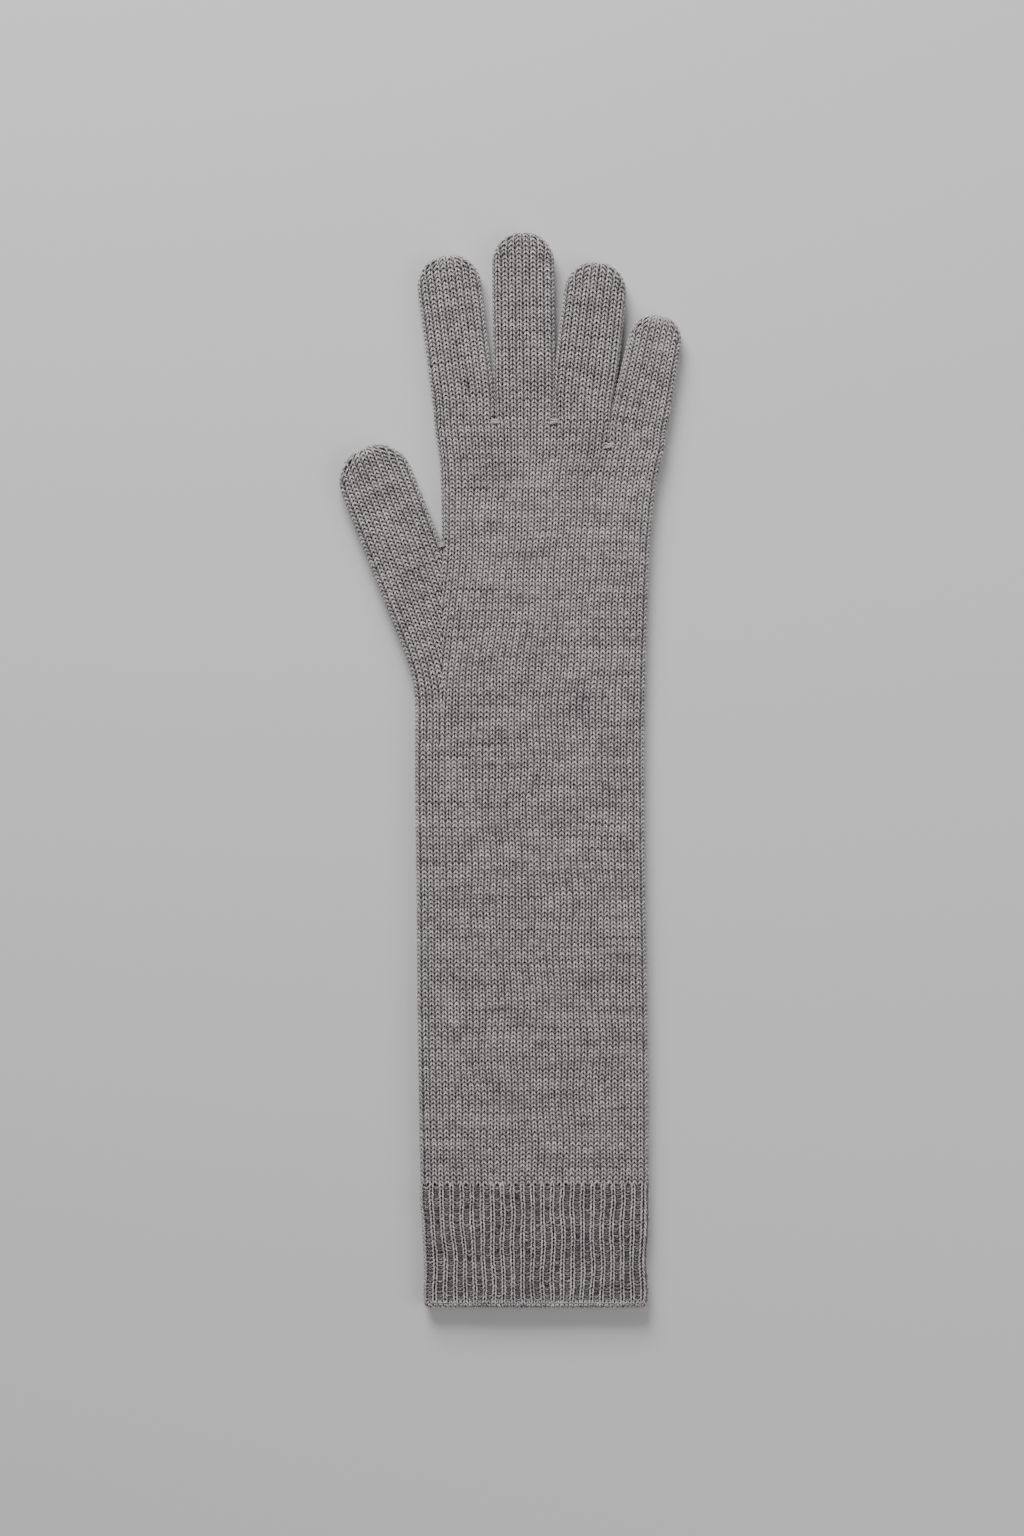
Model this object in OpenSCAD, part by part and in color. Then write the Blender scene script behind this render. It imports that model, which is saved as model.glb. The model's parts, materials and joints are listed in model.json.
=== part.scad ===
// One long knitted glove, lying flat with its palm side up.
// +X runs across the hand towards the little finger, +Y towards the fingertips, +Z up.
// The origin is at the middle of the glove's outline, on the surface it lies on.
// Every tube is two layers of knitting with a hollow between them.

/* [Knitting] */
// Thickness of the glove lying flat
glove_t = 9; // [8.8:0.1:10]
// Thickness of the knitted wall
wall = 2; // [1.6:0.1:2.2]
// Gap along every fold line and between neighbouring fingers
fold_gap = 0.3; // [0.2:0.05:0.4]

/* [Cuff] */
// Width across the ribbed cuff
cuff_w = 93.6; // [88:0.2:96]
// Height of the ribbed cuff with its finished edge
cuff_h = 50.6; // [30:0.2:70]
// Width across the finished edge
welt_w = 92; // [86:0.2:94]
// Height of the finished edge
welt_h = 3.2; // [2.4:0.2:6]

/* [Forearm and palm] */
// Width across the forearm tube
forearm_w = 95.4; // [90:0.2:100]
// Height of the wrist fold above the cuff's edge
wrist_y = 242.4; // [150:0.2:250]
// Height where the thumb leaves the side of the glove
thumb_side_y = 259.4; // [256:0.2:262]
// Height of the thumb's crotch
thumb_crotch_y = 317.4; // [312:0.2:320]
// Distance of the thumb's crotch from the forearm's centre line
thumb_crotch_x = 36.5; // [34:0.1:38]
// Reach of the palm's little finger side at the thumb's crotch
palm_side_x = 49.9; // [48:0.1:52]
// Reach of the palm's little finger side at the little finger's crotch
knuckle_side_x = 56; // [55:0.1:57]
// Height of the crotch beside the little finger
little_crotch_y = 356; // [354:0.2:358]
// Height of the other two finger crotches
crotch_y = 366; // [364:0.2:368]

/* [Fingers] */
// Place of the crotch between the index and middle fingers, across the hand
index_middle_x = -14.5; // [-16:0.1:-13]
// Place of the crotch between the middle and ring fingers
middle_ring_x = 10; // [9:0.1:11]
// Place of the crotch between the ring and little fingers
ring_little_x = 32.65; // [32.5:0.05:34]
// Distance of each finger's first fold above its crotch
root_len = 8; // [5:0.5:10]
// Width of the index finger
index_w = 25.6; // [23:0.1:27]
// Length of the index finger from its crotch
index_len = 69.3; // [60:0.1:75]
// Lean of the index finger away from the middle finger
index_lean = 6.3; // [4:0.1:8]
// Width of the middle finger
middle_w = 24.2; // [20:0.1:24.2]
// Length of the middle finger
middle_len = 78.8; // [70:0.1:85]
// Width of the ring finger
ring_w = 23.1; // [20:0.1:23.1]
// Length of the ring finger
ring_len = 66.4; // [60:0.1:72]
// Lean of the ring finger towards the little finger
ring_lean = 5; // [3:0.1:5]
// Width of the little finger
little_w = 22.6; // [20:0.1:23]
// Length of the little finger from its own crotch
little_len = 54.4; // [48:0.1:60]
// Lean of the little finger
little_lean = 10; // [9:0.1:12]
// Part of a finger between its two folds
shaft_share = 0.43; // [0.35:0.01:0.5]

/* [Thumb] */
// Width of the thumb
thumb_w = 31.2; // [28:0.1:32]
// Length of the thumb from the glove's side to its tip
thumb_len = 97.4; // [90:0.1:105]
// Lean of the thumb away from the palm
thumb_lean = 21.6; // [20:0.1:24]
// Distance of the thumb's first fold from the seam line with the palm
thumb_root_len = 7; // [5:0.5:8]
// Distance of the thumb's second fold below its tip
thumb_tip_len = 29.4; // [24:0.1:32]

/* [Crotch joins] */
// Width of the linked stitches that close a crotch
join_w = 4.4; // [3:0.1:5]
// Height of the linked stitches
join_h = 2.4; // [1.8:0.1:3]
// How far they stand above the knitting
join_proud = 0.3; // [0.1:0.1:0.5]

/* [Hidden] */
$fn = 48;

half_gap = fold_gap / 2;
half_t = glove_t / 2;
far = 300;          // longer than any cut needs
tail = 24;          // how far a finger tube is drawn below its crotch before it is cut
over = 1;           // overrun of a cut past a face
door_gap = 0.2;     // how much smaller than the thumb's hollow the palm's opening into it is
rim_steps = 10;     // facets round the rim of a tapered tube

knit_grey = [0.52, 0.50, 0.50];
rib_grey = [0.46, 0.44, 0.44];
tip_grey = [0.56, 0.54, 0.54];
join_grey = [0.68, 0.66, 0.66];

// Edges of the fingers where they start: the gap is shared by both neighbours
function across(w, lean) = w / cos(lean);
index_x = index_middle_x - half_gap - across(index_w, index_lean) / 2;
middle_x = index_middle_x + half_gap + middle_w / 2;
ring_x = middle_ring_x + half_gap + across(ring_w, ring_lean) / 2;
little_x = ring_little_x + half_gap + across(little_w, little_lean) / 2;

// A finger is [x, y of its start, width, lean towards +X, length]
index_finger = [index_x, crotch_y, index_w, -index_lean, index_len];
middle_finger = [middle_x, crotch_y, middle_w, 0, middle_len];
ring_finger = [ring_x, crotch_y, ring_w, ring_lean, ring_len];
little_finger = [little_x, little_crotch_y, little_w, little_lean, little_len];

function first_fold(f) = f[1] + root_len;
function second_fold(f) = first_fold(f) + (f[4] - root_len) * shaft_share;
// Centre of a finger's round tip
function tip_y(f) = f[1] + f[4] - f[2] / 2;
function tip_x(f) = f[0] + (tip_y(f) - f[1]) * tan(f[3]);

// The thumb starts at the glove's side and leans out: centre of its start and of its round tip
thumb_dir = [-sin(thumb_lean), cos(thumb_lean)];
thumb_across = [cos(thumb_lean), sin(thumb_lean)];
thumb_start = [-forearm_w / 2, thumb_side_y] + thumb_across * thumb_w / 2;
thumb_reach = thumb_len - thumb_w / 2;
thumb_tip_centre = thumb_start + thumb_dir * thumb_reach;

// Line along which the thumb joins the palm, and its lean towards +X
join_line_foot = [-forearm_w / 2, thumb_side_y];
join_line_top = [-thumb_crotch_x, thumb_crotch_y];
join_line_lean = atan2(join_line_top[0] - join_line_foot[0], join_line_top[1] - join_line_foot[1]);
thumb_fold_point = join_line_top - thumb_root_len * [cos(join_line_lean), -sin(join_line_lean)];

// Middle of the glove's outline
left_x = thumb_tip_centre[0] - thumb_w / 2;
right_x = tip_x(little_finger) + little_w / 2;
mid_x = (left_x + right_x) / 2;
mid_y = (crotch_y + middle_len) / 2;

// Between the thumb's crotch and the little finger's the palm's sides aren't quite straight
thumb_side_flare = 2.4;     // how far the thumb's side leans out in all
half_way_flare = 0.4;       // and half way up
palm_side_hollow = 0.6;     // hollow in the little finger's side half way up
half_way_y = (thumb_crotch_y + little_crotch_y) / 2;
half_way_right = (palm_side_x + knuckle_side_x) / 2 - palm_side_hollow;

// Sections of the tapered tubes: [y, left x, right x]
five_finger_sections = [
    [wrist_y + half_gap, -forearm_w / 2, forearm_w / 2],
    [thumb_side_y, -forearm_w / 2, forearm_w / 2],
    [thumb_crotch_y, -thumb_crotch_x, palm_side_x]
];
four_finger_sections = [
    [thumb_crotch_y, -thumb_crotch_x, palm_side_x],
    [half_way_y, -thumb_crotch_x - half_way_flare, half_way_right],
    [little_crotch_y, -thumb_crotch_x - thumb_side_flare, knuckle_side_x]
];
three_finger_sections = [
    [little_crotch_y, -thumb_crotch_x - thumb_side_flare, ring_little_x - half_gap],
    [crotch_y, index_x - across(index_w, index_lean) / 2, ring_x + across(ring_w, ring_lean) / 2]
];

// Outline of a flattened tube, seen along it
module stadium(w, h) {
    square([w - h, h], center = true);
    for (side = [-1, 1])
        translate([side * (w - h) / 2, 0]) circle(d = h);
}

// A straight flattened tube along +Y, solid, pulled in all round by inset
module straight_tube(y0, y1, w, inset) {
    translate([0, y1, half_t]) rotate([90, 0, 0])
        linear_extrude(height = y1 - y0) stadium(w - 2 * inset, glove_t - 2 * inset);
}

// The same with a round tip whose rim is as round as the tube's sides
module closed_tube(y0, y1, w, inset) {
    rim = half_t - inset;
    straight_tube(y0, y1, w, inset);
    translate([0, y1, half_t]) rotate_extrude() intersection() {
        stadium(w - 2 * inset, 2 * rim);
        translate([0, -rim]) square([w, 2 * rim]);
    }
}

// Points of a section's rim, from below on the +X side round to below on the -X side
function rim_points(s, inset) = let (r = half_t - inset, step = 180 / rim_steps) [
    for (side = [1, -1], k = [0 : rim_steps])
        let (a = side > 0 ? -90 + k * step : 90 + k * step)
        [(side > 0 ? s[2] - inset - r : s[1] + inset + r) + r * cos(a), s[0], half_t + r * sin(a)]
];

// A flattened tube whose width follows its sections, solid, pulled in by inset
module tapered_tube(sections, inset) {
    n = 2 * (rim_steps + 1);
    last = len(sections) - 1;
    sides = [
        for (s = [0 : last - 1], k = [0 : n - 1]) let (
            a = s * n + k, b = s * n + (k + 1) % n)
        each [[a, b, a + n], [b, b + n, a + n]]
    ];
    polyhedron(
        points = [for (s = sections) each rim_points(s, inset)],
        faces = concat(sides, [[for (k = [n - 1 : -1 : 0]) k]], [[for (k = [0 : n - 1]) last * n + k]])
    );
}

// Sections carried a little past both ends, for a clean cut
function past_ends(sections) = let (last = len(sections) - 1) concat(
    [[sections[0][0] - over, sections[0][1], sections[0][2]]],
    sections,
    [[sections[last][0] + over, sections[last][1], sections[last][2]]]
);

// Moves the glove's outline to its own middle
module place() {
    translate([-mid_x, -mid_y, 0]) children();
}

// A slab across the glove from y0 to y1
module slab(y0, y1) {
    translate([-far / 2, y0, -over]) cube([far, y1 - y0, glove_t + 2 * over]);
}

module finger_tube(f, inset) {
    translate([f[0], f[1], 0]) rotate([0, 0, -f[3]])
        closed_tube(-tail, (tip_y(f) - f[1]) / cos(f[3]), f[2], inset);
}

// The wall of a finger between two heights
module finger_part(f, y0, y1) {
    place() difference() {
        intersection() {
            finger_tube(f, 0);
            slab(y0, y1);
        }
        finger_tube(f, wall);
    }
}

module finger_root(f) {
    finger_part(f, f[1], first_fold(f) - half_gap);
}

module finger_shaft(f) {
    finger_part(f, first_fold(f) + half_gap, second_fold(f) - half_gap);
}

module finger_tip(f) {
    finger_part(f, second_fold(f) + half_gap, f[1] + f[4] + over);
}

module thumb_tube(inset) {
    translate([thumb_start[0], thumb_start[1], 0]) rotate([0, 0, thumb_lean])
        closed_tube(0, thumb_reach, thumb_w, inset);
}

// Everything more than shift to the -X side of the line where the thumb joins the palm
module outside_join_line(shift) {
    translate([join_line_top[0], join_line_top[1], 0]) rotate([0, 0, -join_line_lean])
        translate([-far - shift, -far / 2, -over]) cube([far, far, glove_t + 2 * over]);
}

// Everything beyond a distance along the thumb
module thumb_beyond(along) {
    translate([thumb_start[0], thumb_start[1], 0]) rotate([0, 0, thumb_lean])
        translate([-far / 2, along, -over]) cube([far, far, glove_t + 2 * over]);
}

// A bar of linked stitches through the thickness, closing the crotch of two tubes
module crotch_join(x, y) {
    color(join_grey) place()
        translate([x, y, join_proud]) linear_extrude(height = glove_t) stadium(join_w, join_h);
}

module cuff_welt() {
    color(rib_grey) place() difference() {
        straight_tube(0, welt_h, welt_w, 0);
        straight_tube(-over, welt_h + over, welt_w, wall);
    }
}

module rib_cuff() {
    color(rib_grey) place() difference() {
        straight_tube(welt_h, cuff_h - half_gap, cuff_w, 0);
        straight_tube(welt_h - over, cuff_h + over, cuff_w, wall);
    }
}

module forearm_sleeve() {
    color(knit_grey) place() difference() {
        straight_tube(cuff_h + half_gap, wrist_y - half_gap, forearm_w, 0);
        straight_tube(cuff_h - over, wrist_y + over, forearm_w, wall);
    }
}

// Palm below the thumb's crotch, open at its side into the thumb
module five_finger_body() {
    color(knit_grey) place() difference() {
        tapered_tube(five_finger_sections, 0);
        tapered_tube(past_ends(five_finger_sections), wall);
        thumb_tube(wall + door_gap);
    }
}

module four_finger_body() {
    color(knit_grey) place() difference() {
        tapered_tube(four_finger_sections, 0);
        tapered_tube(past_ends(four_finger_sections), wall);
    }
}

// Short tube above the little finger's crotch that still holds the other three fingers
module three_finger_body() {
    color(knit_grey) place() difference() {
        tapered_tube(three_finger_sections, 0);
        tapered_tube(past_ends(three_finger_sections), wall);
    }
}

module thumb_root() {
    color(knit_grey) place() difference() {
        intersection() {
            thumb_tube(0);
            outside_join_line(0);
        }
        thumb_tube(wall);
        outside_join_line(thumb_root_len - half_gap);
    }
}

module thumb_shaft() {
    color(knit_grey) place() difference() {
        intersection() {
            thumb_tube(0);
            outside_join_line(thumb_root_len + half_gap);
        }
        thumb_tube(wall);
        thumb_beyond(thumb_len - thumb_tip_len - half_gap);
    }
}

module thumb_tip() {
    color(tip_grey) place() difference() {
        intersection() {
            thumb_tube(0);
            thumb_beyond(thumb_len - thumb_tip_len + half_gap);
        }
        thumb_tube(wall);
    }
}

module index_root() { color(knit_grey) finger_root(index_finger); }
module index_shaft() { color(knit_grey) finger_shaft(index_finger); }
module index_tip() { color(tip_grey) finger_tip(index_finger); }
module middle_root() { color(knit_grey) finger_root(middle_finger); }
module middle_shaft() { color(knit_grey) finger_shaft(middle_finger); }
module middle_tip() { color(tip_grey) finger_tip(middle_finger); }
module ring_root() { color(knit_grey) finger_root(ring_finger); }
module ring_shaft() { color(knit_grey) finger_shaft(ring_finger); }
module ring_tip() { color(tip_grey) finger_tip(ring_finger); }
module little_root() { color(knit_grey) finger_root(little_finger); }
module little_shaft() { color(knit_grey) finger_shaft(little_finger); }
module little_tip() { color(tip_grey) finger_tip(little_finger); }

module thumb_join() { crotch_join(-thumb_crotch_x, thumb_crotch_y); }
module index_middle_join() { crotch_join(index_middle_x, crotch_y); }
module middle_ring_join() { crotch_join(middle_ring_x, crotch_y); }
module ring_little_join() { crotch_join(ring_little_x, little_crotch_y); }

cuff_welt();
rib_cuff();
forearm_sleeve();
five_finger_body();
four_finger_body();
three_finger_body();
thumb_root();
thumb_shaft();
thumb_tip();
index_root();
index_shaft();
index_tip();
middle_root();
middle_shaft();
middle_tip();
ring_root();
ring_shaft();
ring_tip();
little_root();
little_shaft();
little_tip();
thumb_join();
index_middle_join();
middle_ring_join();
ring_little_join();
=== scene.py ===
import json
import math

import bpy
import numpy as np
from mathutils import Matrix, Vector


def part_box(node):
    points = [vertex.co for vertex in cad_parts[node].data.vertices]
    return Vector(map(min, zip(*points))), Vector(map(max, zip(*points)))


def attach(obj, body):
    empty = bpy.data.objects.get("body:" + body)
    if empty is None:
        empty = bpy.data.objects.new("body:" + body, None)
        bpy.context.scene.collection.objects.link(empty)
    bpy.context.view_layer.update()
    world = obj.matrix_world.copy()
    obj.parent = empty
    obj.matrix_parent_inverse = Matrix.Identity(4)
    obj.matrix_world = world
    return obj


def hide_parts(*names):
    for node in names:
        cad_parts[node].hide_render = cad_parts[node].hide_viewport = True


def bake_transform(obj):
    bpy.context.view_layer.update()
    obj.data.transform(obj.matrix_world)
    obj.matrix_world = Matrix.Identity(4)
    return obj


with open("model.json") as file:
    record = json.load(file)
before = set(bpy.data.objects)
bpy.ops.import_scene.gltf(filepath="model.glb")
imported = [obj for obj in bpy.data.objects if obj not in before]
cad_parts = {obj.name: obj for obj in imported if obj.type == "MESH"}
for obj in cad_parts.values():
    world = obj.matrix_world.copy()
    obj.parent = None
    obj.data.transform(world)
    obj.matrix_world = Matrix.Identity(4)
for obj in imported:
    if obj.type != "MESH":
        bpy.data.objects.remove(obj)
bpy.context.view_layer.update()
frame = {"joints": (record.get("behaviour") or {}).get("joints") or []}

MM = 0.001
RNG = np.random.default_rng(20)

# ---------------------------------------------------------------- yarn and stitches, in mm
COURSE = 1.752          # height of a plain stitch
YARN_R = 0.41           # radius of the yarn
LEG_BULGE = 0.27        # how far a stitch's legs swing sideways, in stitches
LOOP_REACH = 0.85       # half a loop's height, in courses
LEG_DEPTH = 0.55        # how far the legs stand out from the middle of the wall
HEAD_LIFT = 0.12        # how much nearer the outside a loop's head lies than its feet
SEGMENTS = 10           # points along one stitch
SIDES = 5               # sides of the yarn
SKIN = LEG_DEPTH + YARN_R   # from the middle of the wall to its outside
EDGE = 0.8              # the same at the soft side edges
END_TUCK = 0.65         # how far the end of an open course is tucked under
END_LENGTH = 0.5        # over how much of it, in stitches
TIP_BLUNT = 0.3         # how far below a round tip's top its wall starts to close over
TIP_CLOSING = 1.2       # how fast it closes
LAST_COURSE = 1.32      # how far over the round end the courses go, in radians
FEWEST_WALES = 8        # stitches round the last of them

RIB_WALE = 2.105        # width of a stitch in the rib
RIB_COURSE = 1.54       # height of a stitch in the rib
RIB_RELIEF = 0.5        # how far knit columns stand out and purl columns sink
RIB_LIFT = 0.5          # the lower layer's columns stand on the table, so its wall lies higher
RIB_YARN_R = 0.37       # the rib is worked tighter, so its yarn is pulled thinner
RIB_BULGE = 0.24        # how far a rib stitch's legs swing sideways, in stitches
RIB_WIDEN = 0.09        # how much the knit columns crowd the purl ones, in stitches
WELT_ROLL = 1.2         # radius of the cuff's rolled edge
WELT_COURSE = 0.95      # height of the cuff edge's tight stitches
RIB_UNRULY, WELT_UNRULY = 1.5, 3.0      # how much less even than the plain knitting these are


def node(name):
    low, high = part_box(name)
    return np.array(low) / MM, np.array(high) / MM


def joint(name):
    found = [j for j in frame["joints"] if j["name"] == name][0]
    return np.array(found["pos_m"]) / MM, np.array(found["axis"], float)


# ---------------------------------------------------------------- places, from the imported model
CUFF_EDGE = node("cuff_welt")[0][1]
RIB_TOP = joint("cuff_fold")[0][1]
WRIST = joint("wrist_fold")[0][1]
THUMB_CROTCH = node("five_finger_body")[1][1]
LITTLE_CROTCH = node("four_finger_body")[1][1]
CROTCH = node("three_finger_body")[1][1]
SLEEVE_LEFT, SLEEVE_RIGHT = node("forearm_sleeve")[0][0], node("forearm_sleeve")[1][0]
THICK = node("forearm_sleeve")[1][2]
MID_Z = THICK / 2
HALF = MID_Z - SKIN     # half height of the middle of the wall
DOME = HALF * 1.2       # length of a tip's rounding in height
RIM = 0.52              # a rim's reach inwards, over its half height
JOINS = {n: (node(n)[0] + node(n)[1]) / 2 for n in
         ("thumb_join", "index_middle_join", "middle_ring_join", "ring_little_join")}


def smooth(t):
    t = np.clip(t, 0, 1)
    return t * t * (3 - 2 * t)


# Quarter of a rim's outline, for a half height of 1: arc length against angle
_angle = np.linspace(0, math.pi / 2, 200)
_arc = np.concatenate([[0], np.cumsum(np.hypot(
    RIM * np.diff(np.cos(_angle)), np.diff(np.sin(_angle))))])
RIM_ARC = _arc[-1]


def rim_curve(t, h):
    """Distance in from the edge and height above the middle, t mm along the wall from the rim's middle."""
    q = RIM_ARC * h
    a = np.interp(np.minimum(t, q) / h, _arc, _angle)
    past = np.maximum(t - q, 0)
    return RIM * h * (1 - np.cos(a)) + past, h * np.sin(a)


def around(w, h):
    """Length of the wall round a flattened tube."""
    return 4 * RIM_ARC * h + 2 * (w - 2 * RIM * h)


def flat_section(s, left, right, h):
    """x and height at s mm round a flattened tube, from the middle of its +X rim over the top."""
    p = around(right - left, h)
    s = np.mod(s, p)
    under = s > p / 2
    t = np.where(under, p - s, s)
    near = t < p / 4
    d, z = rim_curve(np.where(near, t, p / 2 - t), h)
    return np.where(near, right - d, left + d), np.where(under, -z, z)


# ---------------------------------------------------------------- outline of the arm and palm
# Height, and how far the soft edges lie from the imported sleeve's edges, towards +X
BODY_EDGES = np.array([
    [CUFF_EDGE, 3.6, 0.6], [CUFF_EDGE + 22, 3.4, 0.9], [RIB_TOP, 2.3, 1.5],
    [-137, 1.6, 1.4], [-96, 0.9, 1.0], [-54, 0.7, 0.2], [-10, 0.0, -0.3],
    [WRIST, 0.0, -0.2], [45, 0.0, 0.4], [78, 0.0, 1.4],
    [THUMB_CROTCH, 11.2, 2.2], [108, 11.0, 3.4], [118, 10.8, 4.7], [128, 10.3, 6.8],
    [LITTLE_CROTCH + 4, 8.8, 9.6], [CROTCH, 8.0, 11.5]])
BODY_EDGES[:, 1] += SLEEVE_LEFT
BODY_EDGES[:, 2] += SLEEVE_RIGHT
SEAM_X = SLEEVE_LEFT + 10.9     # where the thumb's stitches meet the palm's
CREASES = ("index_middle_join", "middle_ring_join", "ring_little_join")
CREASE_REACH = 5        # how far a crease runs down from its crotch
CREASE_DEPTH = 0.45     # how much of the wall's height it takes
CREASE_WIDTH = 1.4
TOUCH = 0.45            # how far neighbouring fingers press into each other's soft edges
STILL_SIDES, STILL_FINGERS, STILL_RIB = 14, 20, 8   # how far from these the rows start to waver
SEAM_PART = 9           # how far below the thumb's crotch the two tubes start to part
SEAM_STEEP = 1.25       # how steeply the wall dips there


def left_edge(y):
    return np.interp(y, BODY_EDGES[:, 0], BODY_EDGES[:, 1]) + EDGE


def right_edge(y):
    return np.interp(y, BODY_EDGES[:, 0], BODY_EDGES[:, 2]) - EDGE


def softness(x, y):
    """Gentle waves of the upper layer, in mm."""
    return (0.28 * np.sin(x / 17 + y / 41 + 0.6) + 0.22 * np.sin(y / 23 - x / 31)
            + 0.14 * np.sin(x / 7.3 - y / 11.7 + 2.0) - 0.2)


def creased(x, y, z):
    """The wall pulled towards the middle along the lines that run down from the finger crotches."""
    keep = np.ones_like(z)
    for name in CREASES:
        x0, y0 = JOINS[name][:2]
        down = smooth((y - y0 + CREASE_REACH) / CREASE_REACH)
        keep -= CREASE_DEPTH * np.exp(-((x - x0) / CREASE_WIDTH) ** 2) * down
    return z * np.clip(keep, 0.1, 1)


def rise(x, y, z):
    """World height of a wall point: the upper layer waves, the lower one lies flat."""
    return MID_Z + z + np.where(z > 0, softness(x, y) * np.clip(z / HALF, 0, 1), 0)


def waver(x, y):
    """Wales and courses stray a little, away from the edges, the seam, the rib and the fingers."""
    inner = (smooth((x - SEAM_X) / STILL_SIDES) * smooth((right_edge(y) - x) / STILL_SIDES)
             * smooth((LITTLE_CROTCH - y) / STILL_FINGERS) * smooth((y - RIB_TOP) / STILL_RIB))
    across = 0.3 * np.sin(y / 8.3 + x / 17 + 0.4) + 0.22 * np.sin(y / 5.1 - x / 11 + 2.0)
    along = 0.3 * np.sin(x / 9 + y / 21) + 0.2 * np.sin(x / 5.3 - y / 13)
    return x + inner * across, y + inner * along


class Body:
    """A closed flattened tube with n stitches round it, anchored at the middle of its top."""

    def __init__(self, n, left, right, anchor=0.0):
        self.n, self.left, self.right, self.anchor = n, left, right, anchor

    def surface(self, a, y):
        left, right = self.left(y), self.right(y)
        p = around(right - left, HALF)
        x, z = flat_section(p / 4 + (a - self.anchor) * p / self.n, left, right, HALF)
        z = creased(x, y, z)
        x, y = waver(x, y)
        return np.stack([x, y, rise(x, y, z)], -1)

    def stitch_at(self, x, y):
        """The stitch on the top layer at x."""
        left, right = self.left(y), self.right(y)
        p = around(right - left, HALF)
        s = RIM_ARC * HALF + right - RIM * HALF - x
        return float(self.anchor + (s - p / 4) * self.n / p)

    def pitch(self, y):
        return float(around(self.right(y) - self.left(y), HALF)) / self.n


KNUCKLE_LEAN = 0.12     # how far the three fingers' tube leans out towards the little finger, per mm up


def knuckle_right(y):
    """The +X edge of the short tube of three fingers, beside the little finger."""
    return JOINS["ring_little_join"][0] + (y - LITTLE_CROTCH) * KNUCKLE_LEAN - EDGE + TOUCH


PALM_WALES = 73         # stitches round the closed palm
SLEEVE_WALES = 76       # stitches round the forearm


def palm_pitch(y):
    """Stitch width of the open palm courses, from the sleeve's to the closed palm's."""
    low = around(right_edge(WRIST) - left_edge(WRIST), HALF) / SLEEVE_WALES
    high = around(right_edge(THUMB_CROTCH) - left_edge(THUMB_CROTCH), HALF) / PALM_WALES
    return low + (high - low) * smooth((y - WRIST) / (THUMB_CROTCH - WRIST))


def seam_dip(d, y, z):
    """Near the thumb's crotch the two tubes already part: the wall dips beside the seam line."""
    part = smooth((y - THUMB_CROTCH + SEAM_PART) / SEAM_PART)
    z_rim = rim_curve(np.maximum(d, 0) * SEAM_STEEP, HALF)[1]
    return np.where(z >= 0, 1, -1) * (np.abs(z) * (1 - part) + np.minimum(z_rim, np.abs(z)) * part)


def palm_surface(a, y):
    """Open palm courses, a stitches from the +X rim; a < 0 is the lower layer."""
    d, z = rim_curve(np.abs(a) * palm_pitch(y), HALF)
    x = right_edge(y) - d
    z = seam_dip(x - SEAM_X, y, np.where(a < 0, -z, z))
    x, y = waver(x, y)
    return np.stack([x, y, rise(x, y, z)], -1)


# ---------------------------------------------------------------- fingers and thumb
class Finger:
    """A leaning tube with a round tip. Its axis starts upright and leans over in the first 12 to 16 mm."""

    def __init__(self, start, lean, bend_over, widths, reach, tip_r):
        self.lean, self.tip_r = math.radians(lean), tip_r
        self.widths = np.array(widths, float)
        self.reach = reach
        v = np.linspace(-40, reach + 40, 700)
        self.trace(v, self.lean * smooth(v / bend_over), 0, start)

    def trace(self, v, angle, at, through):
        """The line that v is measured along: it leans by angle, and is at the point through at v = at."""
        step = v[1] - v[0]
        x, y = np.cumsum(np.sin(angle)) * step, np.cumsum(np.cos(angle)) * step
        self.v, self.angle = v, angle
        self.x = x - np.interp(at, v, x) + through[0]
        self.y = y - np.interp(at, v, y) + through[1]

    def half_width(self, v):
        w = np.interp(v, self.widths[:, 0], self.widths[:, 1]) - EDGE
        r = self.tip_r - EDGE
        d = np.clip(v - self.reach, 0, r * 0.9995)
        return np.where(v > self.reach, np.sqrt(r * r - d * d), w)

    def half_height(self, v):
        r = self.tip_r - SKIN
        d = np.clip((v - self.reach - (r - DOME)) / DOME, 0, 0.998)
        return HALF * np.sqrt(1 - d * d)

    def axis(self, v):
        return (np.interp(v, self.v, self.x), np.interp(v, self.v, self.y),
                np.interp(v, self.v, self.angle))

    def place(self, across, v, z):
        cx, cy, angle = self.axis(v)
        x, y = cx + across * np.cos(angle), cy - across * np.sin(angle)
        return np.stack([x, y, rise(x, y, z)], -1)

    def size(self, v):
        w = self.half_width(v)
        return w, np.minimum(self.half_height(v), w / RIM * 0.98)

    def surface(self, n, anchor=0.0):
        """n stitches round the tube, anchored at the middle of its top."""
        def surface(a, v):
            top = self.reach + self.tip_r - SKIN - TIP_BLUNT
            w, h = self.size(np.minimum(v, top))
            # past the top, the wall closes over towards the middle of the end
            close = np.exp(-TIP_CLOSING * np.maximum(v - top, 0) / self.size(np.array(top))[1])
            w, h, v = w * close, h * close, np.minimum(v, top)
            p = around(2 * w, h)
            across, z = flat_section(p / 4 + (a - anchor) * p / n, -w, w, h)
            return self.place(across, v, z)
        return surface

    def courses(self, start):
        """Heights of the courses: even along the wall, so closer together over the round end."""
        straight = self.reach + (self.tip_r - SKIN) - DOME
        found = list(np.arange(start, straight, COURSE))
        angle = (COURSE - (straight - found[-1])) / DOME
        while angle < LAST_COURSE:
            found.append(straight + DOME * math.sin(angle))
            angle += COURSE / DOME
        return found

    def girth(self, v):
        w, h = self.size(np.array(float(v)))
        return float(around(2 * w, h))

    def wales(self, v, full):
        """Stitches round the tube: all of them along the straight part, then fewer over the end."""
        if v <= self.reach:
            return full
        return max(FEWEST_WALES, min(full, round(full * self.girth(v) / self.girth(self.reach))))


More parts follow.
